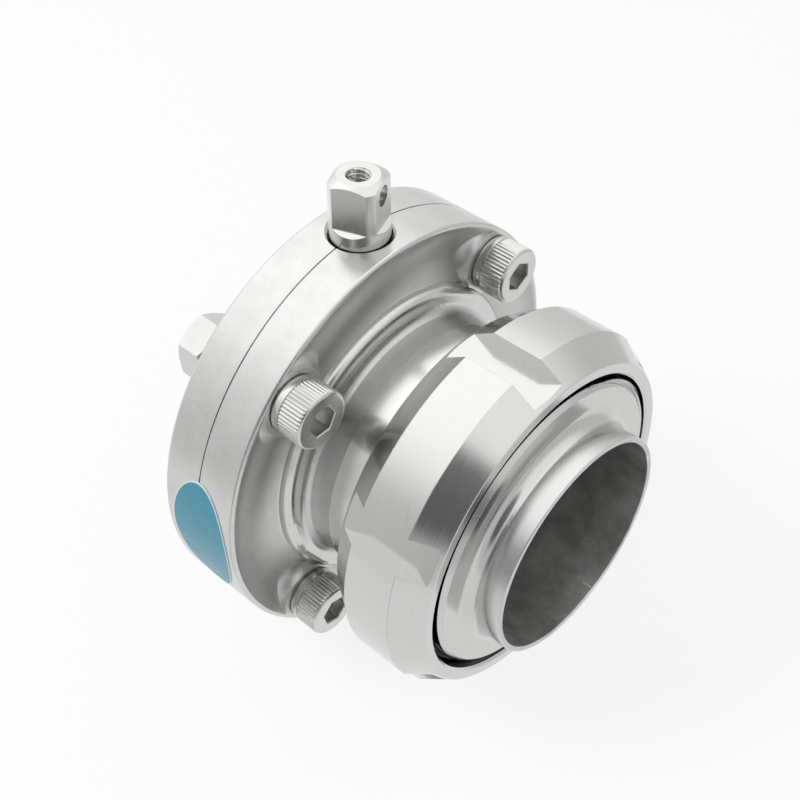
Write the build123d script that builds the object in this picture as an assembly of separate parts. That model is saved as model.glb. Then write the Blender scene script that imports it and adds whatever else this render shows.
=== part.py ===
from build123d import *
import math
import os

# Sanitary butterfly valve with a round-nut union on one end. Lengths are in millimetres and angles
# in degrees. X runs along the pipe toward the union, Z runs up the drive stem, and the origin is
# where the two axes cross, in the plane where the two body halves meet.

# Tube and flow bore
tube_outer_diameter = 51.0
tube_wall = 1.2
rear_stub_length = 4.5
front_stub_length = 8.0

# Body halves
flange_diameter = 100.0
rear_flange_thickness = 10.0
front_flange_thickness = 10.2
rim_land_width = 0.3
rim_edge_radius = 0.7
parting_gap = 0.15
parting_gap_depth = 0.6
dish_floor_wall = 0.8
bead_step = 1.8
bead_width = 3.9
bead_height = 2.5
bead_rise = 1.3
bead_outer_edge_radius = 2.2
bead_inner_edge_radius = 1.6
bead_root_run = 0.9
bead_root_radius = 1.8
neck_wall = 5.7
neck_length = 7.0
rear_taper_length = 3.0
tube_end_radius = 0.2

# Bolting
bolt_edge_distance = 7.5
bolt_count = 4
first_bolt_angle = 45.0
bolt_hole_diameter = 8.5
boss_diameter = 15.5
boss_flank_width = 3.8
screw_diameter = 8.0
screw_head_diameter = 13.0
screw_head_height = 8.0
screw_foot_height = 1.9
screw_foot_step = 0.12
screw_line_width = 0.25
screw_line_depth = 0.3
screw_edge_radius = 0.9
screw_underside_gap = 0.3
screw_underside_step = 0.6
screw_knurl_count = 48
screw_knurl_depth = 0.22
screw_socket_width = 6.0
screw_socket_depth = 4.0
screw_socket_bevel = 0.2
screw_tip_beyond_nut = 1.4
screw_tip_chamfer = 0.8
hex_nut_width = 13.0
hex_nut_height = 6.5
hex_nut_bevel_angle = 30.0
hex_nut_turn = 0.0
nut_spot_clearance = 0.4
socket_turns = (2.0, 30.0, 14.0, 47.0)

# Seat seal
seat_wall = 5.7
seat_half_width = 7.0
seat_lip_height = 0.4
seat_lip_chamfer = 1.0
seat_flat_depth = 2.0
seat_sleeve_length = 3.0

# Disc and stem
disc_seat_clearance = 0.15
disc_centre_thickness = 9.0
disc_edge_thickness = 4.0
disc_hub_wall = 1.25
disc_hub_taper_start = 4.0
disc_hub_taper_end = 16.0
stem_diameter = 12.7
stem_running_clearance = 0.05
stem_rise = 13.4
stem_shoulder = 1.85
stem_tail_length = 11.0
stem_flat_width = 10.4
stem_flat_length = 10.4
stem_ledge_angle = 30.0
stem_flat_count = 4
stem_point_height = 1.1
stem_point_angle = 30.0
stem_turn = 20.0
handle_thread_minor_diameter = 5.0
handle_thread_depth = 13.0
handle_thread_chamfer = 0.15
cross_hole_diameter = 4.3
cross_hole_below_top = 3.7
trunnion_end_gap = 0.4

# Stem bearings and the hole in the rim
bush_wall = 1.1
bush_length = 4.0
stem_passage_clearance = 0.25
rim_hole_gap = 0.35
rim_hole_depth = 3.0
rim_hole_chamfer = 0.8

# Union
liner_step = 0.6
liner_length = 14.8
liner_edge_radius = 0.25
liner_root_radius = 0.6
collar_clearance = 0.8
collar_thickness = 4.7
union_nut_wall = 6.7
union_nut_bevel_drop = 4.1
union_nut_edge_radius = 0.3
union_nut_length = 23.7
union_nut_rear_bevel = 6.0
union_nut_front_bevel = 6.3
union_nut_lip_thickness = 4.8
union_nut_lip_clearance = 0.4
union_nut_end_play = 0.3
union_nut_mouth_chamfer = 0.5
union_nut_slot_count = 6
union_nut_slot_width = 8.4
union_nut_slot_depth = 3.6
union_nut_slot_angle = 34.0
union_thread_wall = 9.5
union_thread_clearance = 0.3
male_rear_gap = 1.0
male_thread_recess = 0.7
male_edge_bevel = 1.0
male_edge_bevel_width = 0.9
male_run_in_step = 1.4
male_run_in_length = 2.2
male_rear_bevel = 0.8
male_root_radius = 3.0
gasket_thickness = 2.6
gasket_width = 5.5
gasket_bore_step = 0.6
gasket_edge_radius = 0.3

# Oval sticker on the rim
label_half_width = 8.2
label_half_length = 16.2
label_thickness = 0.2
label_centre_x = 0.3
label_drop = 2.0

# Radii that several pieces share
tube_outer_radius = tube_outer_diameter / 2
bore_radius = tube_outer_radius - tube_wall
flange_radius = flange_diameter / 2
rim_inner_radius = flange_radius - rim_edge_radius - rim_land_width
neck_radius = bore_radius + neck_wall
bead_inner_radius = neck_radius + bead_step
bead_outer_radius = bead_inner_radius + bead_width
seat_outer_radius = bore_radius + seat_wall
seat_inner_radius = bore_radius - seat_lip_height
seat_flat_half_height = seat_inner_radius - seat_flat_depth
disc_radius = seat_inner_radius - disc_seat_clearance
disc_half_height = seat_flat_half_height - disc_seat_clearance
stem_radius = stem_diameter / 2
stem_tail_radius = stem_radius - stem_shoulder
stem_bore_radius = stem_radius + stem_running_clearance
stem_passage_radius = stem_radius + stem_passage_clearance
bush_outer_radius = stem_bore_radius + bush_wall
rim_hole_radius = stem_radius + rim_hole_gap
disc_hub_radius = stem_radius + disc_hub_wall
liner_radius = neck_radius + liner_step
male_thread_radius = tube_outer_radius + union_thread_wall
collar_radius = male_thread_radius - collar_clearance
nut_bore_radius = male_thread_radius + union_thread_clearance
nut_lip_radius = liner_radius + union_nut_lip_clearance
nut_outer_radius = nut_bore_radius + union_nut_wall
nut_end_radius = nut_outer_radius - union_nut_bevel_drop
nut_slot_floor = nut_outer_radius - union_nut_slot_depth
bolt_circle_radius = flange_radius - bolt_edge_distance

# Places along the pipe
dish_floor = stem_passage_radius + dish_floor_wall
waist_distance = front_flange_thickness + bead_rise + neck_length
liner_start = waist_distance
collar_rear = liner_start + liner_length
collar_front = collar_rear + collar_thickness
nut_rear = collar_rear - union_nut_end_play - union_nut_lip_thickness
nut_front = nut_rear + union_nut_length
male_rear = collar_front + male_rear_gap
male_thread_end = nut_front - male_thread_recess
male_face = male_thread_end + male_edge_bevel
front_stub_end = male_face + front_stub_length

# Places along the stem
sleeve_end = seat_outer_radius + seat_sleeve_length
bush_end = sleeve_end + bush_length
trunnion_end = bush_end - trunnion_end_gap
rim_hole_floor = flange_radius - rim_hole_depth
stem_top_height = flange_radius + stem_rise
cross_hole_height = stem_top_height - cross_hole_below_top


def turned(face):
    """Revolve a face drawn as (distance along the pipe, radius) about the pipe's axis."""
    return revolve(face, Axis.X)


def outline(*points):
    """Closed straight-sided face through the points."""
    return make_face(Polyline(*points, close=True))


def rounded(face, radius, *corners):
    """Round the corners of a face that lie at the given points."""
    picked = [face.vertices().sort_by_distance(Vector(x, y, 0))[0] for x, y in corners]
    return fillet(picked, radius)


def along_x(radius, start, end, y=0.0, z=0.0):
    """Round bar parallel to the pipe, from start to end."""
    bar = Cylinder(radius, end - start, align=(Align.CENTER, Align.CENTER, Align.MIN))
    return Pos(start, y, z) * Rot(0, 90, 0) * bar


def along_z(radius, start, end):
    """Round bar on the stem's axis, from start to end."""
    bar = Cylinder(radius, end - start, align=(Align.CENTER, Align.CENTER, Align.MIN))
    return Pos(0, 0, start) * bar


def bolt_places():
    """Centre of each bolt in the flange, as (y, z)."""
    step = 360.0 / bolt_count
    angles = [math.radians(first_bolt_angle + step * index) for index in range(bolt_count)]
    return [(bolt_circle_radius * math.cos(a), bolt_circle_radius * math.sin(a)) for a in angles]


def half_blank(thickness):
    """Solid outside of one body half from the parting plane to its waist, without bores."""
    bead_front = thickness + bead_rise
    waist = bead_front + neck_length
    dish_end = bead_front - bead_height
    dish_middle = (rim_inner_radius + bead_outer_radius) / 2
    bead_root = bead_front + bead_root_run
    edges = [
        Polyline(
            (waist, neck_radius),
            (waist, 0),
            (0, 0),
            (0, flange_radius - parting_gap_depth),
            (parting_gap, flange_radius - parting_gap_depth),
            (parting_gap, flange_radius),
            (thickness, flange_radius),
            (thickness, rim_inner_radius),
        ),
        ThreePointArc(
            (thickness, rim_inner_radius),
            (dish_floor, dish_middle),
            (dish_end, bead_outer_radius),
        ),
        Polyline(
            (dish_end, bead_outer_radius),
            (bead_front, bead_outer_radius),
            (bead_front, bead_inner_radius),
            (bead_root, neck_radius),
            (waist, neck_radius),
        ),
    ]
    face = make_face(edges)
    face = rounded(face, rim_edge_radius, (thickness, flange_radius))
    face = rounded(face, bead_outer_edge_radius, (bead_front, bead_outer_radius))
    face = rounded(face, bead_inner_edge_radius, (bead_front, bead_inner_radius))
    face = rounded(face, bead_root_radius, (bead_root, neck_radius))
    blank = turned(face)
    envelope = turned(
        rounded(
            outline((0, 0), (0, flange_radius), (thickness, flange_radius), (thickness, 0)),
            rim_edge_radius,
            (thickness, flange_radius),
        )
    )
    for y, z in bolt_places():
        blank += Pos(0, y, z) * screw_boss(thickness) & envelope
    return blank


def screw_boss(thickness):
    """Round boss whose flank runs down in a hollow curve to the floor of the dish."""
    top = boss_diameter / 2
    foot = top + boss_flank_width
    root = dish_floor / 2
    lean = 0.3
    flank = ThreePointArc(
        (thickness, top),
        (dish_floor + lean * (thickness - dish_floor), top + lean * boss_flank_width),
        (dish_floor, foot),
    )
    rest = Polyline((dish_floor, foot), (root, foot), (root, 0), (thickness, 0), (thickness, top))
    return turned(make_face([flank, rest]))


def stem_cavity():
    """Everything that the two halves leave open round the stem, the bushes and the seat's sleeves."""
    pocket = along_z(bush_outer_radius, -bush_end, bush_end)
    passage = along_z(stem_passage_radius, 0, flange_radius)
    rim_hole = along_z(rim_hole_radius, rim_hole_floor, flange_radius + 1)
    mouth = Cone(
        rim_hole_radius,
        rim_hole_radius + 2 * rim_hole_chamfer,
        2 * rim_hole_chamfer,
        align=(Align.CENTER, Align.CENTER, Align.MIN),
    )
    return pocket + passage + rim_hole + Pos(0, 0, flange_radius - rim_hole_chamfer) * mouth


def body_half(thickness):
    """One bored body half that lies on the +X side of the parting plane."""
    half = half_blank(thickness)
    reach = waist_distance + rear_taper_length + rear_stub_length + 1
    half -= along_x(bore_radius, -1, reach)
    half -= along_x(seat_outer_radius, -1, seat_half_width)
    half -= stem_cavity()
    for y, z in bolt_places():
        half -= along_x(bolt_hole_diameter / 2, -1, thickness + 1, y, z)
    return half


def body_half_rear():
    """Rear half, whose waist tapers to a plain weld end."""
    waist = rear_flange_thickness + bead_rise + neck_length
    taper_end = waist + rear_taper_length
    stub_end = taper_end + rear_stub_length
    face = outline(
        (waist, bore_radius),
        (waist, neck_radius),
        (taper_end, tube_outer_radius),
        (stub_end, tube_outer_radius),
        (stub_end, bore_radius),
    )
    face = rounded(face, tube_end_radius, (stub_end, tube_outer_radius), (stub_end, bore_radius))
    half = body_half(rear_flange_thickness) + turned(face)
    spot_radius = hex_nut_width / 2 / math.cos(math.radians(30)) + nut_spot_clearance
    for y, z in bolt_places():
        half -= along_x(spot_radius, rear_flange_thickness, waist, y, z)
    return mirror(half, Plane.YZ)


def seat_seal():
    """Soft seat ring with flats for the disc's hubs and a sleeve round each end of the stem."""
    ring = along_x(seat_outer_radius, -seat_half_width, seat_half_width)
    ring += along_z(bush_outer_radius, -sleeve_end, sleeve_end) & Box(
        2 * bush_outer_radius, 2 * bush_outer_radius, 2 * sleeve_end
    )
    body_bore = along_x(bore_radius, -bush_outer_radius, bush_outer_radius)
    lip_zone = along_x(bore_radius, -seat_half_width, seat_half_width)
    ring -= body_bore - lip_zone
    lip_bore = along_x(seat_inner_radius, -seat_half_width, seat_half_width)
    flats = Box(2 * seat_half_width, 2 * seat_outer_radius, 2 * seat_flat_half_height)
    ring -= lip_bore & flats
    lead_in = turned(
        outline(
            (seat_half_width - seat_lip_chamfer, 0),
            (seat_half_width - seat_lip_chamfer, seat_inner_radius),
            (seat_half_width, bore_radius),
            (seat_half_width, 0),
        )
    )
    ring -= lead_in
    ring -= mirror(lead_in, Plane.YZ)
    return ring - along_z(stem_bore_radius, -sleeve_end - 1, sleeve_end + 1)


def valve_disc():
    """Lens-shaped disc with a ball-turned edge and a hub at its top and bottom."""
    centre = disc_centre_thickness / 2
    edge = disc_edge_thickness / 2
    bow = (centre - edge) / 4
    lens = turned(
        make_face(
            [
                ThreePointArc((centre, 0), (centre - bow, disc_radius / 2), (edge, disc_radius)),
                Line((edge, disc_radius), (-edge, disc_radius)),
                ThreePointArc((-edge, disc_radius), (bow - centre, disc_radius / 2), (-centre, 0)),
                Line((-centre, 0), (centre, 0)),
            ]
        )
    )
    taper = Cone(
        centre,
        disc_hub_radius,
        disc_hub_taper_end - disc_hub_taper_start,
        align=(Align.CENTER, Align.CENTER, Align.MIN),
    )
    hub = Pos(0, 0, disc_hub_taper_start) * taper
    hub += along_z(disc_hub_radius, disc_hub_taper_end, disc_half_height)
    disc = lens + hub + mirror(hub, Plane.XY)
    disc = disc & Sphere(disc_radius)
    disc = disc & Box(2 * disc_radius, 2 * disc_radius, 2 * disc_half_height)
    socket = along_z(stem_tail_radius, disc_half_height - stem_tail_length, disc_half_height)
    disc -= socket
    disc -= mirror(socket, Plane.XY)
    return Rot(0, 0, stem_turn) * disc


def drive_stem():
    """Stem with a tail in the disc, four flats above sloping ledges, a tapped end and a cross hole."""
    point_top_radius = stem_radius - stem_point_height / math.tan(math.radians(stem_point_angle))
    tail_end = disc_half_height - stem_tail_length
    profile = Plane.XZ * outline(
        (0, tail_end),
        (stem_tail_radius, tail_end),
        (stem_tail_radius, disc_half_height),
        (stem_radius, disc_half_height),
        (stem_radius, stem_top_height - stem_point_height),
        (point_top_radius, stem_top_height),
        (0, stem_top_height),
    )
    stem = revolve(profile, Axis.Z)
    flat_plane = stem_flat_width / 2
    cut_end = flat_plane + 2 * stem_radius
    ledge_height = stem_top_height - stem_flat_length
    ledge_drop = 2 * stem_radius * math.tan(math.radians(stem_ledge_angle))
    flat_cut = extrude(
        Plane.YZ
        * outline(
            (-flat_plane, stem_top_height + 1),
            (-flat_plane, ledge_height),
            (-cut_end, ledge_height - ledge_drop),
            (-cut_end, stem_top_height + 1),
        ),
        stem_diameter,
        both=True,
    )
    for index in range(stem_flat_count):
        stem -= Rot(0, 0, 360.0 / stem_flat_count * index) * flat_cut
    thread_radius = handle_thread_minor_diameter / 2
    stem -= along_z(thread_radius, stem_top_height - handle_thread_depth, stem_top_height)
    mouth = Cone(
        thread_radius,
        thread_radius + handle_thread_chamfer,
        handle_thread_chamfer,
        align=(Align.CENTER, Align.CENTER, Align.MAX),
    )
    stem -= Pos(0, 0, stem_top_height) * mouth
    stem -= along_x(cross_hole_diameter / 2, -stem_diameter, stem_diameter, 0, cross_hole_height)
    return Rot(0, 0, stem_turn) * stem


def lower_trunnion():
    """Short pin that carries the disc in the lower bush."""
    tail_end = disc_half_height - stem_tail_length
    pin = along_z(stem_tail_radius, -disc_half_height, -tail_end)
    pin += along_z(stem_radius, -trunnion_end, -disc_half_height)
    return pin


def stem_bush():
    """Plain bush that fills the pocket beyond the seat's upper sleeve."""
    ring = along_z(bush_outer_radius, sleeve_end, bush_end)
    return ring - along_z(stem_bore_radius, sleeve_end - 1, bush_end + 1)


def knurled_section(radius):
    """Round face with a V-shaped tooth between each pair of grooves."""
    points = []
    for index in range(screw_knurl_count):
        for part, reach in ((0.0, radius - screw_knurl_depth), (0.35, radius), (0.65, radius)):
            angle = 2 * math.pi * (index + part) / screw_knurl_count
            points.append((reach * math.cos(angle), reach * math.sin(angle)))
    return outline(*points)


def hexagon_bar(width, start, end):
    """Six-sided bar on the X axis, as wide across its flats as given."""
    corner_radius = width / 2 / math.cos(math.radians(30))
    bar = extrude(RegularPolygon(corner_radius, 6), end - start)
    return Pos(start, 0, 0) * Rot(0, 90, 0) * bar


def cap_screw(socket_turn):
    """Socket head cap screw whose head stands on the plane x = 0, with its shank behind."""
    head_radius = screw_head_diameter / 2
    foot_radius = head_radius - screw_foot_step
    line_end = screw_foot_height + screw_line_width
    shank_radius = screw_diameter / 2
    shank_length = front_flange_thickness + rear_flange_thickness + hex_nut_height + screw_tip_beyond_nut
    knurl = extrude(knurled_section(head_radius), screw_head_height - line_end)
    knurl = Pos(line_end, 0, 0) * Rot(0, 90, 0) * knurl
    head = outline((0, 0), (0, head_radius), (screw_head_height, head_radius), (screw_head_height, 0))
    envelope = turned(rounded(head, screw_edge_radius, (screw_head_height, head_radius)))
    screw = knurl & envelope
    screw += turned(
        outline(
            (0, 0),
            (0, foot_radius - screw_underside_step),
            (screw_underside_gap, foot_radius - screw_underside_step),
            (screw_underside_gap, foot_radius),
            (screw_foot_height, foot_radius),
            (screw_foot_height, 0),
        )
    )
    screw += along_x(foot_radius - screw_line_depth, screw_underside_gap, line_end)
    screw += turned(
        outline(
            (0, 0),
            (0, shank_radius),
            (screw_tip_chamfer - shank_length, shank_radius),
            (-shank_length, shank_radius - screw_tip_chamfer),
            (-shank_length, 0),
        )
    )
    socket = hexagon_bar(screw_socket_width, screw_head_height - screw_socket_depth, screw_head_height)
    mouth_corner = (screw_socket_width / 2 + screw_socket_bevel) / math.cos(math.radians(30))
    mouth = extrude(RegularPolygon(mouth_corner, 6), screw_socket_bevel, taper=45)
    mouth = Pos(screw_head_height, 0, 0) * Rot(0, -90, 0) * mouth
    return Rot(socket_turn, 0, 0) * (screw - socket - mouth)


def hex_nut():
    """Six-sided nut behind the plane x = 0, bevelled at both ends."""
    corner_radius = hex_nut_width / 2 / math.cos(math.radians(30))
    bevel_rise = (corner_radius - hex_nut_width / 2) * math.tan(math.radians(hex_nut_bevel_angle))
    envelope = turned(
        outline(
            (0, 0),
            (0, hex_nut_width / 2),
            (-bevel_rise, corner_radius),
            (bevel_rise - hex_nut_height, corner_radius),
            (-hex_nut_height, hex_nut_width / 2),
            (-hex_nut_height, 0),
        )
    )
    nut = Rot(hex_nut_turn, 0, 0) * hexagon_bar(hex_nut_width, -hex_nut_height, 0) & envelope
    return nut - along_x(screw_diameter / 2, -hex_nut_height - 1, 1)


def union_liner():
    """Collar piece welded to the neck, which holds the union nut."""
    face = outline(
        (liner_start, bore_radius),
        (liner_start, liner_radius),
        (collar_rear, liner_radius),
        (collar_rear, collar_radius),
        (collar_front, collar_radius),
        (collar_front, bore_radius),
    )
    face = rounded(face, liner_root_radius, (collar_rear, liner_radius))
    return turned(rounded(face, liner_edge_radius, (liner_start, liner_radius)))


def union_nut():
    """Round slotted nut with a bevel at each end and a lip behind its threaded bore."""
    mouth = union_nut_mouth_chamfer
    outer_corners = [
        (nut_rear, nut_end_radius),
        (nut_rear + union_nut_rear_bevel, nut_outer_radius),
        (nut_front - union_nut_front_bevel, nut_outer_radius),
        (nut_front, nut_end_radius),
    ]
    face = outline(
        (nut_rear, nut_lip_radius),
        *outer_corners,
        (nut_front, nut_bore_radius + mouth),
        (nut_front - mouth, nut_bore_radius),
        (nut_rear + union_nut_lip_thickness, nut_bore_radius),
        (nut_rear + union_nut_lip_thickness, nut_lip_radius),
    )
    nut = turned(rounded(face, union_nut_edge_radius, *outer_corners))
    slot_height = nut_outer_radius
    slot = Pos((nut_rear + nut_front) / 2, nut_slot_floor + slot_height / 2, 0) * Box(
        2 * union_nut_length, slot_height, union_nut_slot_width
    )
    for index in range(union_nut_slot_count):
        turn = union_nut_slot_angle + 360.0 / union_nut_slot_count * index
        nut -= Rot(turn, 0, 0) * slot
    return nut


def threaded_weld_end():
    """Threaded half of the union with its short tube stub and the groove for the gasket."""
    root_start = tube_outer_radius + male_root_radius
    run_in_radius = male_thread_radius - male_run_in_step
    crest_end = male_thread_end - male_run_in_length
    quarter = math.sin(math.radians(45))
    edges = [
        Polyline(
            (male_face, root_start),
            (male_face, run_in_radius - male_edge_bevel_width),
            (male_thread_end, run_in_radius),
            (crest_end, run_in_radius),
            (crest_end - male_run_in_step, male_thread_radius),
            (male_rear + male_rear_bevel, male_thread_radius),
            (male_rear, male_thread_radius - male_rear_bevel),
            (male_rear, bore_radius),
            (front_stub_end, bore_radius),
            (front_stub_end, tube_outer_radius),
            (male_face + male_root_radius, tube_outer_radius),
        ),
        ThreePointArc(
            (male_face + male_root_radius, tube_outer_radius),
            (
                male_face + male_root_radius * (1 - quarter),
                root_start - male_root_radius * quarter,
            ),
            (male_face, root_start),
        ),
    ]
    face = make_face(edges)
    face = rounded(
        face, tube_end_radius, (front_stub_end, tube_outer_radius), (front_stub_end, bore_radius)
    )
    return turned(face) - gasket_blank()


def gasket_blank():
    """Plain ring that the gasket fills."""
    inner = bore_radius + gasket_bore_step
    outer = inner + gasket_width
    end = collar_front + gasket_thickness
    return turned(outline((collar_front, inner), (collar_front, outer), (end, outer), (end, inner)))


def union_gasket():
    """Ring seal between the collar and the threaded half."""
    edges = gasket_blank().edges().filter_by(GeomType.CIRCLE).group_by(Axis.X)[0]
    return fillet(edges, gasket_edge_radius)


def side_label():
    """Thin oval sticker bent round the rim."""
    half_height = flange_radius * math.sin(label_half_length / flange_radius)
    oval = Plane.XZ * Pos(label_centre_x, -label_drop) * Ellipse(label_half_width, half_height)
    prism = extrude(oval, flange_radius + 2 * label_thickness)
    reach = label_half_width + abs(label_centre_x) + 1
    shell = along_x(flange_radius + label_thickness, -reach, reach)
    shell -= along_x(flange_radius, -reach, reach)
    return prism & shell


def pieces():
    """Every sub-part at its place, under its own name."""
    upper_bush = stem_bush()
    parts = {
        "body_half_front": body_half(front_flange_thickness),
        "body_half_rear": body_half_rear(),
        "seat_seal": seat_seal(),
        "valve_disc": valve_disc(),
        "drive_stem": drive_stem(),
        "lower_trunnion": lower_trunnion(),
        "upper_bush": upper_bush,
        "lower_bush": mirror(upper_bush, Plane.XY),
        "union_liner": union_liner(),
        "union_nut": union_nut(),
        "threaded_weld_end": threaded_weld_end(),
        "union_gasket": union_gasket(),
        "side_label": side_label(),
    }
    for index, (y, z) in enumerate(bolt_places()):
        turn = socket_turns[index % len(socket_turns)]
        parts[f"cap_screw_{index + 1}"] = Pos(front_flange_thickness, y, z) * cap_screw(turn)
        parts[f"hex_nut_{index + 1}"] = Pos(-rear_flange_thickness, y, z) * hex_nut()
    return parts


os.makedirs("parts", exist_ok=True)
for name, shape in pieces().items():
    export_step(shape, f"parts/{name}.step")
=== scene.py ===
import math

import bmesh
import bpy
from mathutils import Matrix, Vector


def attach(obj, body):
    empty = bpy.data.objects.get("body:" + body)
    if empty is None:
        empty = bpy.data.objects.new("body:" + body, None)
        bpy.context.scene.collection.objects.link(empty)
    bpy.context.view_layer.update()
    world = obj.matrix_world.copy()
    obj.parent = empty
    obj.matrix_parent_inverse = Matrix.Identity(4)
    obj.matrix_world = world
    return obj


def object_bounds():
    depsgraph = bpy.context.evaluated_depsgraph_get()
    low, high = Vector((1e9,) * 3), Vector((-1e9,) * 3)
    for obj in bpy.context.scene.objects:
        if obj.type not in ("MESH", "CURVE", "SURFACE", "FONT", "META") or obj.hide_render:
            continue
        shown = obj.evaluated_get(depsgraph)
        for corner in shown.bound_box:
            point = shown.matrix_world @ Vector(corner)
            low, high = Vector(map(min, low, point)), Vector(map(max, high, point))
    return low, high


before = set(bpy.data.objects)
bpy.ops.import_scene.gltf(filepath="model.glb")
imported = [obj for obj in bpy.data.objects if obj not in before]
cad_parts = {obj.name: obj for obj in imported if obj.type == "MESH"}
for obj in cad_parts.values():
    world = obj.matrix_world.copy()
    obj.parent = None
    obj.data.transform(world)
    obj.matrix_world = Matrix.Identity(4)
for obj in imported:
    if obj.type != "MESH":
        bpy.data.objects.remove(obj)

cad_low, cad_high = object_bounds()
MM = 0.001

# Camera, fitted to the photograph's circles; the offsets are along the picture's right and up
CAMERA_AZIMUTH = 42.76
CAMERA_ELEVATION = 44.16
CAMERA_ROLL = -0.31
CAMERA_DISTANCE = 290.6 * MM
CAMERA_RIGHT = 7.8 * MM
CAMERA_UP = 1.8 * MM
CAMERA_NEAR = 0.01
CAMERA_FAR = 20.0
FOCAL_PIXELS = 1273.5
PICTURE_PIXELS = 800
SENSOR_WIDTH = 36.0

# Studio: what the metal mirrors, as strengths of white by direction. It is brightest overhead and
# behind the valve, plain at the sides and on the floor, and dark round the camera and at one tall stand.
# Starts, tops and feet are heights of a direction, from -1 straight down to 1 straight up. Cores and
# edges are cosines of the angle from the middle of a light or a shade.
FLOOR_SIZE = 4.0
FLOOR_GAP = 0.3 * MM
FLOOR_WHITE = 0.93
FLOOR_ROUGHNESS = 0.8
FLOOR_GLOW = 0.82
BACKDROP_WHITE = 1.0
SOFT_LIGHT = 0.64
OVERHEAD = 1.17
OVERHEAD_START = 0.25
OVERHEAD_FULL = 0.85
SIDES = 0.70
GROUND = 0.92
TABLE_EDGE = -0.31
TABLE_BLUR = 0.04
BACK_LIGHT = 0.31
BACK_DIRECTION = (-0.80, 0.10, 0.35)
BACK_CORE = 0.80
BACK_EDGE = 0.30
CAMERA_SHADE = 0.20
CAMERA_SHADE_DIRECTION = (0.63, -0.63, 0.45)
CAMERA_SHADE_CORE = 0.961
CAMERA_SHADE_EDGE = 0.870
STAND_SHADE = 0.28
STAND_FOOT_SHADE = 0.62
STAND_DIRECTION = (-0.12, -0.99, 0.0)
STAND_CORE = 0.990
STAND_EDGE = 0.945
STAND_TOP = 0.80
STAND_FOOT = -0.95
STAND_BLUR = 0.15
STAND_SHADE_START = -0.25
STAND_SHADE_FULL = 0.0
KEY_LIGHT_PLACE = (-0.45, -0.55, 0.75)
KEY_LIGHT_AIM = (0, 0, 0)
KEY_LIGHT_SIZE = 0.5
KEY_LIGHT_POWER = 5.0

# Colours
BODY_STEEL = (0.70, 0.697, 0.687)
UNION_STEEL = (0.66, 0.658, 0.648)
MALE_STEEL = (0.82, 0.817, 0.805)
STEM_STEEL = (0.76, 0.757, 0.745)
FASTENER_STEEL = (0.68, 0.677, 0.666)
LINER_STEEL = (0.77, 0.768, 0.757)
SEAM_STEEL = (0.78, 0.77, 0.75)
DISC_STEEL = (0.63, 0.628, 0.618)
# Painted shade for the thread grooves, near black
PAINTED_GROOVE_SHADE = (0.045, 0.044, 0.042)
BLACK = (0.0, 0.0, 0.0)
RUBBER = (0.018, 0.018, 0.019)
BEARING_PLASTIC = (0.82, 0.80, 0.74)
LABEL_TEAL = (0.032, 0.245, 0.345)
LABEL_PALE = (0.62, 0.72, 0.74)

# Roughness of each steel, for a finish without zones and for viewers that read no nodes
BODY_ROUGHNESS = 0.17
UNION_ROUGHNESS = 0.14
LINER_ROUGHNESS = 0.20
STEM_ROUGHNESS = 0.24
FASTENER_ROUGHNESS = 0.21
DISC_ROUGHNESS = 0.16

# Roughness by radius, as (radius in mm, roughness). The body has a rough bore and neck, a polished bead,
# a blasted dish and a finely turned rim.
BODY_ZONES = (
    (0.0, 0.45), (26.0, 0.45), (26.6, 0.33), (31.0, 0.33), (31.8, 0.16), (35.4, 0.16),
    (36.2, 0.42), (48.4, 0.42), (49.2, 0.22), (55.0, 0.24),
)
UNION_ZONES = ((0.0, 0.45), (25.0, 0.45), (25.3, 0.17), (35.0, 0.15), (55.0, 0.14))

# Painted light and shade as a share of the colour by radius in mm: painted shade on the body's neck and a
# little in its dish, and a painted lighter bore in the male end. The mottles give the depth of the stains by
# radius.
BODY_PAINTED_SHADE = (
    (0.0, 1.0), (29.0, 0.90), (31.0, 0.90), (32.2, 1.0), (35.4, 1.0), (36.2, 0.97), (47.6, 0.97),
    (48.8, 1.0), (55.0, 1.0),
)
UNION_PAINTED_BORE_LIGHT = ((0.0, 1.0), (24.6, 1.0), (24.9, 0.785), (55.0, 0.785))
BODY_MOTTLE = ((0.0, 0.30), (24.5, 0.30), (26.0, 0.10), (55.0, 0.08))
UNION_MOTTLE = ((0.0, 0.36), (24.6, 0.36), (24.9, 0.04), (55.0, 0.04))
ZONE_REACH = 55.0 * MM

# Painted shade in the thread grooves, where the male thread's root and the nut's inner wall lie in shadow:
# start and end along the pipe's axis, inner and outer radius
MALE_GROOVE_SHADE = (49.9 * MM, 51.12 * MM, 33.0 * MM, 34.5 * MM)
NUT_GROOVE_SHADE = (33.2 * MM, 51.35 * MM, 35.0 * MM, 35.5 * MM)

# Noise: the usual stretch of its values. Scales are in features per metre.
NOISE_LOW = 0.3
NOISE_HIGH = 0.7

# Turned steel: fine rings, broader streaks, clouds, specks, stains and scratches
RING_FINENESS = 9000.0
DISC_RING_FINENESS = 5000.0
RING_TURN = 2.2
RING_DEPTH = 0.004 * MM
STREAK_SHARE = 0.3
STREAK_TURN = 5.0
STREAK_LOW = 0.25
STREAK_HIGH = 0.75
STREAK_TONE = 0.6
STREAK_GLOSS = 0.03
CLOUD_SCALE = 55.0
CLOUD_TONE = 0.4
CLOUD_GLOSS = 0.02
SPECK_SCALE = 900.0
SPECK_DEPTH = 0.002 * MM
SPECK_STRENGTH = 0.5
STAIN_SCALE = 150.0
STAIN_LOW = 0.35
STAIN_HIGH = 0.65
SCRATCH_SCALE = 55.0
SCRATCH_WIDTH = 0.008
SCRATCH_DEPTH = 0.006 * MM
SCRATCH_PATCH_SCALE = 70.0
SCRATCH_PATCH_START = 0.50
SCRATCH_PATCH_FULL = 0.58
TURNED_SHADE = 0.94
ANISOTROPY = 0.45
EDGE_RADIUS = 0.12 * MM
EDGE_SAMPLES = 4
AXIS_GAP = 1e-9

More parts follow.
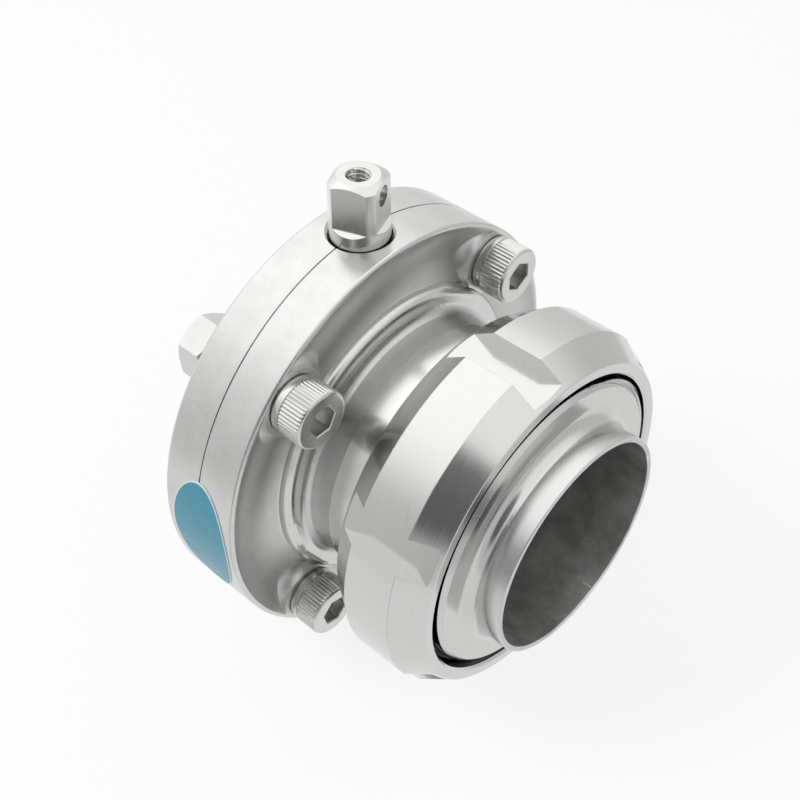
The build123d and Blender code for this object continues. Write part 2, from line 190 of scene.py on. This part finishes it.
# Milled and pressed steel: lines per metre along x, y and z
STEM_LINES = (2500.0, 2500.0, 300.0)
FASTENER_LINES = (400.0, 1500.0, 1500.0)
LINE_GLOSS = 0.03
LINE_DEPTH = 0.0002 * MM
MILLED_CLOUD_SCALE = 160.0
MILLED_SHADE = 0.92

# Weld seam
WELD_ROUGHNESS = 0.45
WELD_METAL = 0.25
WELD_RIPPLE = 4000.0
WELD_SHADE = 0.85
WELD_DEPTH = 0.010 * MM

# Rubber
RUBBER_ROUGHNESS = 0.55
RUBBER_GLOSS = (0.46, 0.64)
RUBBER_SKIN_SCALE = 2400.0
RUBBER_CLOUD_SCALE = 120.0
RUBBER_WORN = 1.7
RUBBER_DEPTH = 0.008 * MM

# Bearing plastic
BEARING_ROUGHNESS = 0.42
BEARING_GLOSS = (0.36, 0.5)
BEARING_RINGS = 6000.0
BEARING_SHADE = 0.92
BEARING_DEPTH = 0.005 * MM

# Label: an oval about its centre, with a pale edge from one share of its reach to another
LABEL_CENTRE = (0.3 * MM, -2.0 * MM)
LABEL_REACH = (8.2 * MM, 15.93 * MM)
LABEL_EDGE_START = 0.972
LABEL_EDGE_FULL = 0.980
LABEL_ROUGHNESS = 0.30
LABEL_GLOSS = (0.24, 0.36)
LABEL_INK_SCALE = 1500.0
LABEL_WEAR_SCALE = 300.0
LABEL_SHADE = 0.90
LABEL_DEPTH = 0.004 * MM

# Tapped thread in the stem's end: half widths of its flank and crest are shares of the pitch
STEM_THREAD_RADIUS = 2.5 * MM
STEM_THREAD_HEIGHT = 0.34 * MM
STEM_THREAD_PITCH = 1.0 * MM
STEM_THREAD_FLANK = 0.44
STEM_THREAD_CREST = 0.10
STEM_THREAD_END = 51.0 * MM
STEM_THREAD_SHORT = 0.96
STEM_THREAD_STEPS = 48
STEM_THREAD_FEWEST = 3
STEM_TOP = 63.4 * MM
STEM_TURN = 20.0
CROSS_HOLE_RADIUS = 2.15 * MM
CROSS_HOLE_HEIGHT = 59.7 * MM
CROSS_HOLE_MARGIN = 0.2 * MM
CROSS_HOLE_FADE = 0.3 * MM

# Last turn of the union's round thread, by angle in degrees
UNION_THREAD_ROOT = 33.6 * MM
UNION_THREAD_HEIGHT = 1.4 * MM
UNION_THREAD_PITCH = 4.233 * MM
UNION_THREAD_WIDTH = 2.8 * MM
UNION_RIDGE_PLACE = 50.35 * MM
UNION_RIDGE_START = -160.0
UNION_RIDGE_END = 72.0
UNION_RIDGE_FADE = 45.0
UNION_RIDGE_STEPS = 220
UNION_SECTION_STEPS = 12
RIDGE_END_WIDTH = 0.35
SINK = 0.05 * MM

# Tube seam where it shows in the stub's bore
SEAM_DEGREES = -68.6
SEAM_START = 57.2 * MM
SEAM_END = 59.9 * MM
SEAM_WIDTH = 0.40 * MM
SEAM_HEIGHT = 0.12 * MM
SEAM_STEPS = 10
SEAM_COLUMNS = 8
SEAM_BLUNTNESS = 4
STUB_BORE = 24.3 * MM


def socket(node, name, value):
    """Set one input of a node."""
    node.inputs[name].default_value = value


def shade(colour, share):
    """A colour made darker or lighter by a share."""
    return tuple(channel * share for channel in colour)


def ease(share):
    """A share from zero to one, eased at both ends."""
    return share * share * (3.0 - 2.0 * share)


class Shading:
    """Short ways to add nodes to a node tree."""

    def __init__(self, tree):
        self.tree = tree

    def add(self, kind, **settings):
        """A new node with its settings."""
        node = self.tree.nodes.new(kind)
        for key, value in settings.items():
            setattr(node, key, value)
        return node

    def link(self, start, end):
        """Join an output to an input."""
        self.tree.links.new(start, end)

    def feed(self, node, name, value):
        """Set an input to a number, or link it to an output."""
        if isinstance(value, (int, float)):
            node.inputs[name].default_value = value
        else:
            self.link(value, node.inputs[name])

    def math(self, operation, *values):
        """The output of a math node whose inputs are outputs or numbers."""
        node = self.add("ShaderNodeMath", operation=operation)
        for index, value in enumerate(values):
            self.feed(node, index, value)
        return node.outputs[0]

    def combine(self, *values):
        """A vector from three outputs or numbers."""
        node = self.add("ShaderNodeCombineXYZ")
        for index, value in enumerate(values):
            self.feed(node, index, value)
        return node.outputs[0]

    def toward(self, ray, direction):
        """The cosine of the angle between a ray and a fixed direction."""
        node = self.add("ShaderNodeVectorMath", operation="DOT_PRODUCT")
        self.link(ray, node.inputs[0])
        node.inputs[1].default_value = Vector(direction).normalized()
        return node.outputs["Value"]

    def noise(self, vector, scale=1.0, detail=2.0, w=None, roughness=0.5):
        """The value of a noise texture at a vector."""
        node = self.add("ShaderNodeTexNoise", noise_dimensions="3D" if w is None else "4D")
        self.link(vector, node.inputs["Vector"])
        socket(node, "Scale", scale)
        socket(node, "Detail", detail)
        socket(node, "Roughness", roughness)
        if w is not None:
            self.link(w, node.inputs["W"])
        return node.outputs["Fac"]

    def span(self, value, low, high, to_low, to_high, smooth=False, clamp=True):
        """A value carried from one range to another."""
        node = self.add("ShaderNodeMapRange", clamp=clamp)
        if smooth:
            node.interpolation_type = "SMOOTHSTEP"
        self.link(value, node.inputs["Value"])
        names = ("From Min", "From Max", "To Min", "To Max")
        for name, number in zip(names, (low, high, to_low, to_high)):
            socket(node, name, number)
        return node.outputs["Result"]

    def spread(self, noise, to_low, to_high):
        """A noise's usual stretch carried to a range."""
        return self.span(noise, NOISE_LOW, NOISE_HIGH, to_low, to_high)

    def scratches(self, place):
        """Long thin lines where two cells meet, kept only in patches."""
        cells = self.add("ShaderNodeTexVoronoi", feature="DISTANCE_TO_EDGE")
        self.link(place, cells.inputs["Vector"])
        socket(cells, "Scale", SCRATCH_SCALE)
        line = self.span(cells.outputs["Distance"], 0.0, SCRATCH_WIDTH, 1.0, 0.0)
        patch = self.span(self.noise(place, scale=SCRATCH_PATCH_SCALE, detail=2.0),
                          SCRATCH_PATCH_START, SCRATCH_PATCH_FULL, 0.0, 1.0)
        return self.math("SUBTRACT", 1.0, self.math("MULTIPLY", line, patch))

    def tint(self, factor, first, second):
        """A colour between two colours."""
        node = self.add("ShaderNodeMix", data_type="RGBA")
        self.link(factor, node.inputs["Factor"])
        for name, value in (("A", first), ("B", second)):
            target = [i for i in node.inputs if i.name == name and i.type == "RGBA"][0]
            if isinstance(value, tuple):
                target.default_value = (*value, 1.0)
            else:
                self.link(value, target)
        return [o for o in node.outputs if o.type == "RGBA"][0]

    def profile(self, value, reach, stops):
        """A number that follows straight lines between the stops, each (place in mm, number)."""
        node = self.add("ShaderNodeValToRGB")
        self.link(self.math("DIVIDE", value, reach), node.inputs[0])
        ramp = node.color_ramp
        while len(ramp.elements) < len(stops):
            ramp.elements.new(1.0)
        for element, (place, number) in zip(ramp.elements, stops):
            element.position = place * MM / reach
        for element, (place, number) in zip(ramp.elements, stops):
            element.color = (number, number, number, 1.0)
        return node.outputs[0]

    def mix_shader(self, factor, first, second):
        """One shader at a factor of zero, the other at one."""
        node = self.add("ShaderNodeMixShader")
        for index, value in enumerate((factor, first, second)):
            self.link(value, node.inputs[index])
        return node.outputs[0]


class Finish(Shading):
    """A material under construction, with its principled shader."""

    def __init__(self, name, colour, roughness, metallic=0.0):
        self.material = bpy.data.materials.new(name)
        self.material.use_nodes = True
        super().__init__(self.material.node_tree)
        self.shader = self.tree.nodes["Principled BSDF"]
        socket(self.shader, "Base Color", (*colour, 1.0))
        socket(self.shader, "Roughness", roughness)
        socket(self.shader, "Metallic", metallic)

    def position(self):
        """The x, y and z of the point on the object."""
        place = self.add("ShaderNodeTexCoord")
        parts = self.add("ShaderNodeSeparateXYZ")
        self.link(place.outputs["Object"], parts.inputs[0])
        return parts.outputs[0], parts.outputs[1], parts.outputs[2]

    def paint(self, colour):
        """Use a socket as the base colour."""
        self.link(colour, self.shader.inputs["Base Color"])

    def polish(self, roughness):
        """Use a socket as the roughness."""
        self.link(roughness, self.shader.inputs["Roughness"])

    def lathe_marks(self, place, scale, turn, detail, roughness=0.5):
        """Noise drawn out round the pipe's axis.

        The place is the point along the axis, the radius and the two parts of the way round."""
        along, radius, turn_y, turn_z = place
        vector = self.combine(
            self.math("MULTIPLY", along, scale),
            self.math("MULTIPLY", radius, scale),
            self.math("MULTIPLY", turn_y, turn),
        )
        return self.noise(vector, detail=detail, w=self.math("MULTIPLY", turn_z, turn), roughness=roughness)

    def within(self, along, radius, box):
        """One inside a stretch along the axis and between two radii, and zero elsewhere."""
        start, end, inner, outer = box
        inside = self.math("MULTIPLY", self.math("GREATER_THAN", along, start),
                           self.math("LESS_THAN", along, end))
        inside = self.math("MULTIPLY", inside, self.math("GREATER_THAN", radius, inner))
        return self.math("MULTIPLY", inside, self.math("LESS_THAN", radius, outer))

    def soft_edges(self, radius):
        """A normal that rounds the edges, to lay bumps on."""
        node = self.add("ShaderNodeBevel", samples=EDGE_SAMPLES)
        socket(node, "Radius", radius)
        return node.outputs["Normal"]

    def bump(self, height, distance, strength=1.0, below=None):
        """Raise the surface by a height, over what a lower bump gave."""
        node = self.add("ShaderNodeBump")
        socket(node, "Distance", distance)
        socket(node, "Strength", strength)
        self.link(height, node.inputs["Height"])
        if below is not None:
            self.link(below, node.inputs["Normal"])
        self.link(node.outputs["Normal"], self.shader.inputs["Normal"])
        return node.outputs["Normal"]


def turned_steel(name, colour, roughness, zones=None, painted_shading=None, mottles=None, shaded_groove=None,
                 fineness=RING_FINENESS):
    """Steel with lathe rings round the pipe's axis, broad tone changes and light handling marks.

    The zones, the painted shading and the mottles give the roughness, the share of the colour (painted light
    and shade) and the depth of its stains by radius. The shaded groove is a stretch painted near black as
    shade."""
    finish = Finish(name, colour, roughness, metallic=1.0)
    x, y, z = finish.position()
    square = finish.math("ADD", finish.math("MULTIPLY", y, y), finish.math("MULTIPLY", z, z))
    radius = finish.math("SQRT", finish.math("ADD", square, AXIS_GAP))
    turned = (x, radius, finish.math("DIVIDE", y, radius), finish.math("DIVIDE", z, radius))
    rings = finish.lathe_marks(turned, fineness, RING_TURN, detail=3.0, roughness=0.6)
    streaks = finish.lathe_marks(turned, fineness * STREAK_SHARE, STREAK_TURN, detail=2.0)
    place = finish.combine(x, y, z)
    cloud = finish.noise(place, scale=CLOUD_SCALE, detail=3.0)
    speck = finish.noise(place, scale=SPECK_SCALE, detail=1.0)

    rough = finish.math("ADD", finish.spread(streaks, -STREAK_GLOSS, STREAK_GLOSS),
                        finish.spread(cloud, -CLOUD_GLOSS, CLOUD_GLOSS))
    base = finish.profile(radius, ZONE_REACH, zones) if zones else roughness
    finish.polish(finish.math("ADD", rough, base))

    tone = finish.math("ADD", finish.span(streaks, STREAK_LOW, STREAK_HIGH, 0.0, STREAK_TONE),
                       finish.spread(cloud, 0.0, CLOUD_TONE))
    mixed = finish.tint(tone, shade(colour, TURNED_SHADE), colour)
    # Painted light and shade by radius, times random stains: shade on the body's neck and dish, light in the
    # male end's bore
    if painted_shading:
        stain = finish.noise(place, scale=STAIN_SCALE, detail=5.0, roughness=0.65)
        stain = finish.span(stain, STAIN_LOW, STAIN_HIGH, 0.0, 1.0)
        depth = finish.math("MULTIPLY", stain, finish.profile(radius, ZONE_REACH, mottles))
        share = finish.math("MULTIPLY", finish.profile(radius, ZONE_REACH, painted_shading),
                            finish.math("SUBTRACT", 1.0, depth))
        mixed = finish.tint(share, BLACK, mixed)
    # Painted shade: the groove's stretch is painted near black where it lies in shadow
    if shaded_groove:
        mixed = finish.tint(finish.within(x, radius, shaded_groove), mixed, PAINTED_GROOVE_SHADE)
    finish.paint(mixed)

    low = finish.bump(rings, RING_DEPTH, below=finish.soft_edges(EDGE_RADIUS))
    low = finish.bump(speck, SPECK_DEPTH, SPECK_STRENGTH, below=low)
    finish.bump(finish.scratches(place), SCRATCH_DEPTH, below=low)
    socket(finish.shader, "Anisotropic", ANISOTROPY)
    tangent = finish.add("ShaderNodeTangent", direction_type="RADIAL", axis="X")
    finish.link(tangent.outputs[0], finish.shader.inputs["Tangent"])
    return finish.material


def milled_steel(name, colour, roughness, lines):
    """Steel with straight fine lines, drawn out along the direction that has the fewest."""
    finish = Finish(name, colour, roughness, metallic=1.0)
    x, y, z = finish.position()
    drawn = finish.combine(*[finish.math("MULTIPLY", part, factor) for part, factor in zip((x, y, z), lines)])
    marks = finish.noise(drawn, detail=3.0, roughness=0.6)
    place = finish.combine(x, y, z)
    cloud = finish.noise(place, scale=MILLED_CLOUD_SCALE, detail=3.0)
    finish.polish(finish.math("ADD", finish.spread(marks, roughness - LINE_GLOSS, roughness + LINE_GLOSS),
                              finish.spread(cloud, -CLOUD_GLOSS, CLOUD_GLOSS)))
    finish.paint(finish.tint(finish.spread(cloud, 0.0, 1.0), shade(colour, MILLED_SHADE), colour))
    finish.bump(marks, LINE_DEPTH, below=finish.soft_edges(EDGE_RADIUS))
    return finish.material


def bright_weld(name, colour):
    """Blank weld metal with a ripple across the seam."""
    finish = Finish(name, colour, WELD_ROUGHNESS, metallic=WELD_METAL)
    x, y, z = finish.position()
    ripple = finish.noise(finish.combine(finish.math("MULTIPLY", x, WELD_RIPPLE), y, z), detail=1.0)
    finish.paint(finish.tint(ripple, shade(colour, WELD_SHADE), colour))
    finish.bump(ripple, WELD_DEPTH)
    return finish.material


def rubber(name, colour):
    """Moulded black rubber with a fine skin."""
    finish = Finish(name, colour, RUBBER_ROUGHNESS)
    place = finish.combine(*finish.position())
    skin = finish.noise(place, scale=RUBBER_SKIN_SCALE, detail=3.0)
    cloud = finish.noise(place, scale=RUBBER_CLOUD_SCALE, detail=2.0)
    finish.polish(finish.spread(cloud, *RUBBER_GLOSS))
    finish.paint(finish.tint(cloud, colour, shade(colour, RUBBER_WORN)))
    finish.bump(skin, RUBBER_DEPTH)
    return finish.material


def bearing_plastic(name, colour):
    """Turned bearing plastic."""
    finish = Finish(name, colour, BEARING_ROUGHNESS)
    x, y, z = finish.position()
    rings = finish.noise(finish.combine(0.0, 0.0, finish.math("MULTIPLY", z, BEARING_RINGS)), detail=2.0)
    finish.polish(finish.spread(rings, *BEARING_GLOSS))
    finish.paint(finish.tint(rings, shade(colour, BEARING_SHADE), colour))
    finish.bump(rings, BEARING_DEPTH)
    return finish.material


def printed_label(name):
    """Glossy teal sticker with a thin pale edge."""
    finish = Finish(name, LABEL_TEAL, LABEL_ROUGHNESS)
    x, y, z = finish.position()
    squares = []
    for part, centre, reach in zip((x, z), LABEL_CENTRE, LABEL_REACH):
        away = finish.span(part, centre, centre + reach, 0.0, 1.0, clamp=False)
        squares.append(finish.math("MULTIPLY", away, away))
    oval = finish.math("SQRT", finish.math("ADD", *squares))
    pale = finish.span(oval, LABEL_EDGE_START, LABEL_EDGE_FULL, 0.0, 1.0)
    place = finish.combine(x, y, z)
    ink = finish.noise(place, scale=LABEL_INK_SCALE, detail=2.0)
    wear = finish.noise(place, scale=LABEL_WEAR_SCALE, detail=3.0)
    teal = finish.tint(ink, shade(LABEL_TEAL, LABEL_SHADE), LABEL_TEAL)
    finish.paint(finish.tint(pale, teal, LABEL_PALE))
    finish.polish(finish.spread(wear, *LABEL_GLOSS))
    finish.bump(ink, LABEL_DEPTH)
    return finish.material


def make_world():
    """White for the camera, plain soft light for matt surfaces, and the room for the metal."""
    world = bpy.data.worlds.new("studio")
    bpy.context.scene.world = world
    world.use_nodes = True
    tree = Shading(world.node_tree)
    world.node_tree.nodes.clear()
    ray = tree.add("ShaderNodeTexCoord").outputs["Generated"]
    parts = tree.add("ShaderNodeSeparateXYZ")
    tree.link(ray, parts.inputs[0])
    level = tree.combine(parts.outputs[0], parts.outputs[1], 0.0)
    level_ray = tree.add("ShaderNodeVectorMath", operation="NORMALIZE")
    tree.link(level, level_ray.inputs[0])
    height = parts.outputs[2]

    above = tree.span(height, OVERHEAD_START, OVERHEAD_FULL, 0.0, OVERHEAD - SIDES, smooth=True)
    below = tree.span(height, TABLE_EDGE + TABLE_BLUR, TABLE_EDGE - TABLE_BLUR, 0.0, GROUND - SIDES,
                      smooth=True)
    behind = tree.span(tree.toward(ray, BACK_DIRECTION), BACK_EDGE, BACK_CORE, 0.0, BACK_LIGHT, smooth=True)
    room = tree.math("ADD", tree.math("ADD", above, below), tree.math("ADD", behind, SIDES))

    camera_side = tree.span(tree.toward(ray, CAMERA_SHADE_DIRECTION), CAMERA_SHADE_EDGE, CAMERA_SHADE_CORE,
                            1.0, CAMERA_SHADE, smooth=True)
    stand = tree.span(tree.toward(level_ray.outputs[0], STAND_DIRECTION), STAND_EDGE, STAND_CORE,
                      0.0, 1.0, smooth=True)
    stand_top = tree.span(height, STAND_TOP - STAND_BLUR, STAND_TOP, 1.0, 0.0, smooth=True)
    stand_foot = tree.span(height, STAND_FOOT, STAND_FOOT + STAND_BLUR, 0.0, 1.0, smooth=True)
    stand = tree.math("MULTIPLY", stand, tree.math("MULTIPLY", stand_top, stand_foot))
    depth = tree.span(height, STAND_SHADE_START, STAND_SHADE_FULL, 1.0 - STAND_FOOT_SHADE, 1.0 - STAND_SHADE,
                      smooth=True)
    stand = tree.math("SUBTRACT", 1.0, tree.math("MULTIPLY", stand, depth))
    room = tree.math("MULTIPLY", room, tree.math("MULTIPLY", camera_side, stand))

    path = tree.add("ShaderNodeLightPath")
    backgrounds = []
    for strength in (room, SOFT_LIGHT, BACKDROP_WHITE):
        background = tree.add("ShaderNodeBackground")
        socket(background, "Color", (1.0, 1.0, 1.0, 1.0))
        tree.feed(background, "Strength", strength)
        backgrounds.append(background.outputs[0])
    mixed = tree.mix_shader(path.outputs["Is Glossy Ray"], backgrounds[1], backgrounds[0])
    mixed = tree.mix_shader(path.outputs["Is Camera Ray"], mixed, backgrounds[2])
    tree.link(mixed, tree.add("ShaderNodeOutputWorld").inputs["Surface"])


def make_floor():
    """Pale plain floor under the flange's lowest point, which the metal doesn't mirror."""
    bpy.ops.mesh.primitive_plane_add(size=FLOOR_SIZE, location=(0, 0, cad_low.z - FLOOR_GAP))
    floor = bpy.context.object
    floor.name = "floor"
    finish = Finish("floor_white", (FLOOR_WHITE,) * 3, FLOOR_ROUGHNESS)
    output = finish.tree.nodes["Material Output"]
    glow = finish.add("ShaderNodeEmission")
    path = finish.add("ShaderNodeLightPath")
    share = finish.math("MULTIPLY", path.outputs["Is Camera Ray"], FLOOR_GLOW)
    finish.link(finish.mix_shader(share, finish.shader.outputs[0], glow.outputs[0]), output.inputs["Surface"])
    floor.data.materials.append(finish.material)
    floor.visible_glossy = False


def make_light(name, place, aim, size, power):
    """A large soft area light, which the metal doesn't mirror."""
    data = bpy.data.lights.new(name, "AREA")
    data.shape = "DISK"
    data.size = size
    data.energy = power
    lamp = bpy.data.objects.new(name, data)
    lamp.visible_glossy = False
    bpy.context.scene.collection.objects.link(lamp)
    lamp.location = place
    lamp.rotation_mode = "QUATERNION"
    lamp.rotation_quaternion = (Vector(aim) - Vector(place)).to_track_quat("-Z", "Y")


def make_camera():
    """The photograph's viewing angle."""
    azimuth = math.radians(CAMERA_AZIMUTH)
    elevation = math.radians(CAMERA_ELEVATION)
    roll = math.radians(CAMERA_ROLL)
    level = Vector((math.cos(azimuth), math.sin(azimuth), 0.0))
    back = Vector((math.sin(azimuth) * math.cos(elevation), -math.cos(azimuth) * math.cos(elevation),
                   math.sin(elevation)))
    upright = back.cross(level)
    right = level * math.cos(roll) + upright * math.sin(roll)
    up = upright * math.cos(roll) - level * math.sin(roll)
    data = bpy.data.cameras.new("camera")
    data.sensor_width = SENSOR_WIDTH
    data.lens = FOCAL_PIXELS / PICTURE_PIXELS * SENSOR_WIDTH
    data.clip_start = CAMERA_NEAR
    data.clip_end = CAMERA_FAR
    camera = bpy.data.objects.new("camera", data)
    bpy.context.scene.collection.objects.link(camera)
    camera.matrix_world = Matrix((right, up, back)).transposed().to_4x4()
    camera.location = right * CAMERA_RIGHT + up * CAMERA_UP + back * CAMERA_DISTANCE
    bpy.context.scene.camera = camera


def sweep(name, rows, closed):
    """A solid strip through rows of points, ready to be given its body.

    A closed strip's rows are loops, and its two ends are capped. An open one gets a single face over its
    rim, which closes it from behind."""
    build = bmesh.new()
    rows = [[build.verts.new(point) for point in row] for row in rows]
    count = len(rows[0])
    for row, after in zip(rows, rows[1:]):
        for index in range(count if closed else count - 1):
            other = (index + 1) % count
            build.faces.new((row[index], row[other], after[other], after[index]))
    strip = len(build.faces)
    if closed:
        build.faces.new(rows[0])
        build.faces.new(list(reversed(rows[-1])))
    else:
        rim = rows[0] + [row[-1] for row in rows[1:-1]] + list(reversed(rows[-1]))
        build.faces.new(rim + [row[0] for row in reversed(rows[1:-1])])
    bmesh.ops.recalc_face_normals(build, faces=build.faces)
    for index, face in enumerate(build.faces):
        face.smooth = closed or index < strip
    mesh = bpy.data.meshes.new(name)
    build.to_mesh(mesh)
    build.free()
    piece = bpy.data.objects.new(name, mesh)
    bpy.context.scene.collection.objects.link(piece)
    return piece


def ridge(name, axis, body, material, path, section):
    """A thread's ridge: a closed section swept along a helix, tapered at both ends.

    The path gives (angle, place along the axis, root radius, share of full height) for each step, and
    the section is a list of (shift along the axis, height)."""
    rows = []
    for angle, along, radius, share in path:
        row = []
        for shift, height in section:
            reach = radius + height * share
            first, second = reach * math.cos(angle), reach * math.sin(angle)
            place = along + shift * (RIDGE_END_WIDTH + (1.0 - RIDGE_END_WIDTH) * share)
            row.append((place, first, second) if axis == "X" else (first, second, place))
        rows.append(row)
    piece = sweep(name, rows, closed=True)
    piece.data.materials.append(material)
    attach(piece, body)


def round_section(width, height, steps):
    """Half a wave, as wide and high as given, closed a little below its root."""
    points = []
    for index in range(steps + 1):
        turn = index / steps
        points.append(((turn - 0.5) * width, height * 0.5 * (1.0 - math.cos(2.0 * math.pi * turn))))
    return [(-0.5 * width, -SINK)] + points + [(0.5 * width, -SINK)]


def union_ridge(material):
    """The last turn of the male round thread, which runs out in the bevel at its front."""
    path = []
    for index in range(UNION_RIDGE_STEPS + 1):
        degrees = UNION_RIDGE_START + (UNION_RIDGE_END - UNION_RIDGE_START) * index / UNION_RIDGE_STEPS
        along = UNION_RIDGE_PLACE + UNION_THREAD_PITCH * degrees / 360.0
        front = min(1.0, max(0.0, (UNION_RIDGE_END - degrees) / UNION_RIDGE_FADE))
        path.append((math.radians(degrees), along, UNION_THREAD_ROOT, ease(front)))
    section = round_section(UNION_THREAD_WIDTH, UNION_THREAD_HEIGHT, UNION_SECTION_STEPS)
    ridge("male_thread_turn", "X", "weld_end", material, path, section)


def stem_ridges(material):
    """The tapped thread's turns in the stem's end, which stop at the cross hole's edge."""
    flank = STEM_THREAD_FLANK * STEM_THREAD_PITCH
    crest = STEM_THREAD_CREST * STEM_THREAD_PITCH
    section = [(-flank, SINK), (-crest, -STEM_THREAD_HEIGHT), (crest, -STEM_THREAD_HEIGHT), (flank, SINK)]
    turns = (STEM_TOP - STEM_THREAD_END) / STEM_THREAD_PITCH - STEM_THREAD_SHORT
    steps = int(turns * STEM_THREAD_STEPS)
    run = []
    count = 0
    for index in range(steps + 2):
        turned = turns * index / steps
        angle = 2.0 * math.pi * turned
        along = STEM_THREAD_END + STEM_THREAD_PITCH * (0.5 + turned)
        aside = STEM_THREAD_RADIUS * math.sin(angle - math.radians(STEM_TURN))
        gap = math.hypot(aside, along - CROSS_HOLE_HEIGHT) - CROSS_HOLE_RADIUS - CROSS_HOLE_MARGIN
        if gap > 0.0 and index <= steps:
            run.append((angle, along, STEM_THREAD_RADIUS, min(1.0, gap / CROSS_HOLE_FADE)))
            continue
        if len(run) > STEM_THREAD_FEWEST:
            count += 1
            ridge(f"stem_thread_{count}", "Z", "disc_and_stem", material, run, section)
        run = []


def tube_seam(material):
    """The end of the tube's rolled seam, a low rounded bead along its bore."""
    rows = []
    for index in range(SEAM_STEPS + 1):
        share = index / SEAM_STEPS
        swell = math.sqrt(max(0.0, 1.0 - (2.0 * share - 1.0) ** SEAM_BLUNTNESS))
        along = SEAM_START + (SEAM_END - SEAM_START) * share
        row = []
        for column in range(SEAM_COLUMNS + 1):
            side = 2.0 * column / SEAM_COLUMNS - 1.0
            rise = swell * (1.0 - side * side)
            reach = STUB_BORE - SEAM_HEIGHT * rise + SINK * (1.0 - rise)
            angle = math.radians(SEAM_DEGREES) + side * SEAM_WIDTH / 2.0 / STUB_BORE
            row.append((along, reach * math.cos(angle), reach * math.sin(angle)))
        rows.append(row)
    seam = sweep("tube_seam", rows, closed=False)
    seam.data.materials.append(material)
    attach(seam, "weld_end")


def dress(node, material):
    """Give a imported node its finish."""
    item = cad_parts[node]
    for slot in item.material_slots:
        slot.material = material


make_camera()
make_world()
make_floor()
make_light("key", KEY_LIGHT_PLACE, KEY_LIGHT_AIM, KEY_LIGHT_SIZE, KEY_LIGHT_POWER)

body = turned_steel("turned_body", BODY_STEEL, BODY_ROUGHNESS, BODY_ZONES, BODY_PAINTED_SHADE, BODY_MOTTLE)
nut = turned_steel("turned_union", UNION_STEEL, UNION_ROUGHNESS, UNION_ZONES, shaded_groove=NUT_GROOVE_SHADE)
liner = turned_steel("turned_liner", LINER_STEEL, LINER_ROUGHNESS)
weld = bright_weld("bright_weld", SEAM_STEEL)
male = turned_steel("turned_male_end", MALE_STEEL, UNION_ROUGHNESS, UNION_ZONES, UNION_PAINTED_BORE_LIGHT, UNION_MOTTLE,
                    MALE_GROOVE_SHADE)
stem = milled_steel("milled_stem", STEM_STEEL, STEM_ROUGHNESS, STEM_LINES)
fastener = milled_steel("pressed_fastener", FASTENER_STEEL, FASTENER_ROUGHNESS, FASTENER_LINES)
polished = turned_steel("polished_disc", DISC_STEEL, DISC_ROUGHNESS, fineness=DISC_RING_FINENESS)
black_rubber = rubber("black_rubber", RUBBER)
bearing = bearing_plastic("bearing", BEARING_PLASTIC)
label = printed_label("printed_label")

finishes = {
    "body_half_front": body,
    "body_half_rear": body,
    "union_liner": liner,
    "union_nut": nut,
    "threaded_weld_end": male,
    "drive_stem": stem,
    "lower_trunnion": stem,
    "valve_disc": polished,
    "seat_seal": black_rubber,
    "union_gasket": black_rubber,
    "upper_bush": bearing,
    "lower_bush": bearing,
    "side_label": label,
}
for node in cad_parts:
    dress(node, finishes.get(node, fastener))
union_ridge(fastener)
stem_ridges(stem)
tube_seam(weld)

bpy.context.scene.view_settings.view_transform = "Standard"
